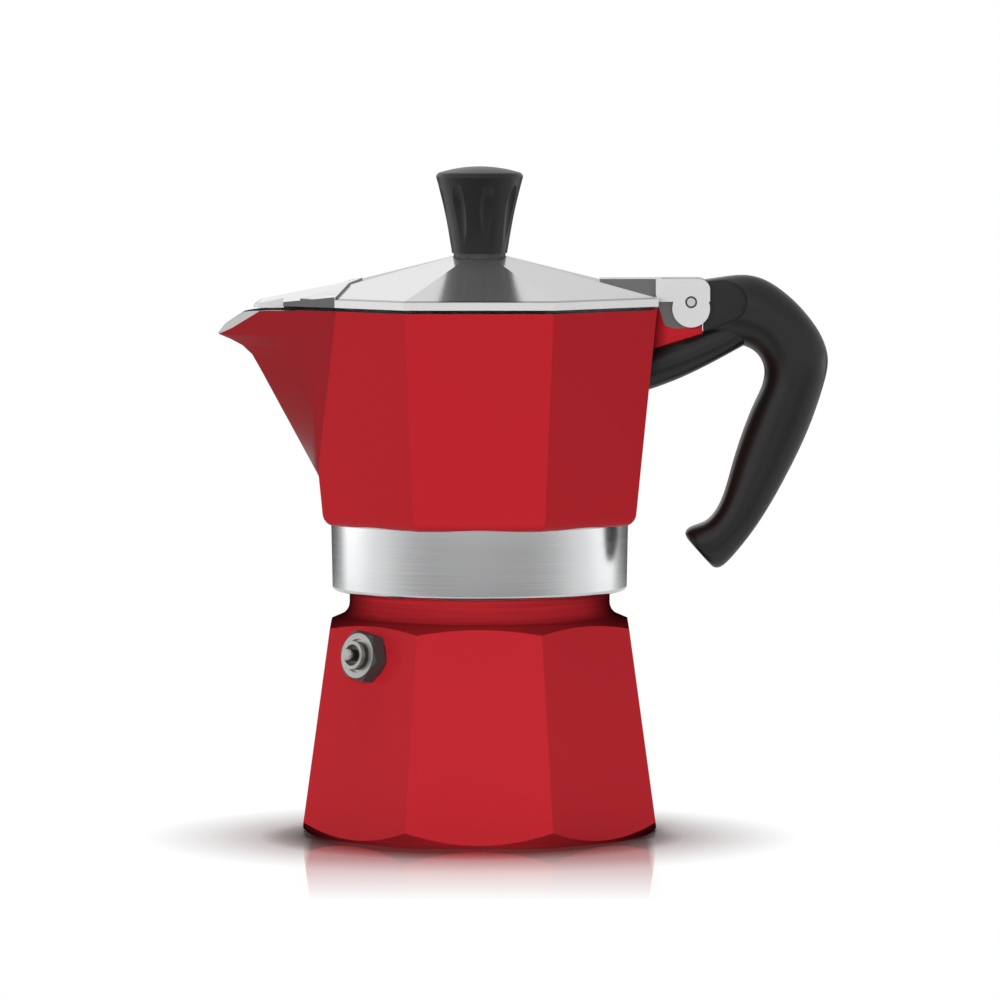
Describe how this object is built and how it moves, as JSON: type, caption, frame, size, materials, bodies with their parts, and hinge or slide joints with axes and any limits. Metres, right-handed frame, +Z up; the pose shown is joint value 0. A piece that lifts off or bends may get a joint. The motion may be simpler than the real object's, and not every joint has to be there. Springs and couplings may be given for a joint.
{
  "type": "moka pot",
  "caption": "Octagonal stovetop moka pot: screwed boiler with safety valve, funnel and gasket, collector with spout, hinged lid with knob, and side handle.",
  "frame": {"origin": "centre of the boiler's flat underside", "axes": "+Z up along the pot's axis, +X towards the handle, -X towards the spout"},
  "size_m": [0.1526, 0.0888, 0.1665],
  "materials": {
    "painted_body": "gloss red paint",
    "bare_aluminium": "brushed",
    "black_plastic": "satin",
    "valve_metal": "nickel plated",
    "steel": "satin",
    "rubber": "matt"
  },
  "bodies": {
    "boiler": {"boiler_body": "painted_body", "valve_body": "valve_metal", "valve_washer": "rubber", "valve_retainer": "valve_metal", "valve_spring": "steel"},
    "valve_pin": {"valve_plunger": "valve_metal", "valve_seal": "rubber"},
    "funnel": {"funnel": "bare_aluminium", "funnel_disc": "bare_aluminium"},
    "seal": {"gasket": "rubber", "filter_plate": "bare_aluminium"},
    "top": {"collector_body": "painted_body", "riser_tube": "bare_aluminium", "riser_cap": "bare_aluminium", "hinge_pin": "steel", "handle": "black_plastic", "handle_screw": "steel"},
    "lid": {"lid": "bare_aluminium", "knob": "black_plastic", "knob_stud": "steel", "knob_washer": "steel", "knob_nut": "steel"}
  },
  "joints": [
    {"name": "funnel_lift", "type": "slide", "parent": "boiler", "child": "funnel", "axis": [0, 0, 1], "range_m": [0, 0.075]},
    {"name": "top_rise", "type": "slide", "parent": "funnel", "child": "seal", "axis": [0, 0, 1], "range_m": [0, 0.0076]},
    {"name": "top_turn", "type": "hinge", "parent": "seal", "child": "top", "pos_m": [0, 0, 0.07], "axis": [0, 0, 1], "range_deg": [0, 900]},
    {"name": "lid_hinge", "type": "hinge", "parent": "top", "child": "lid", "pos_m": [0.0527, 0, 0.1329], "axis": [0, 1, 0], "range_deg": [0, 90]},
    {"name": "valve_lift", "type": "slide", "parent": "boiler", "child": "valve_pin", "axis": [-0.7006, -0.7006, 0.1357], "range_m": [0, 0.0015], "stiffness_N_per_m": 800, "springref_m": -0.002, "deforming": ["valve_spring"]}
  ],
  "couplings": [
    {"joint": "top_rise", "follows": "top_turn", "m_per_rad": 0.00047746}
  ]
}
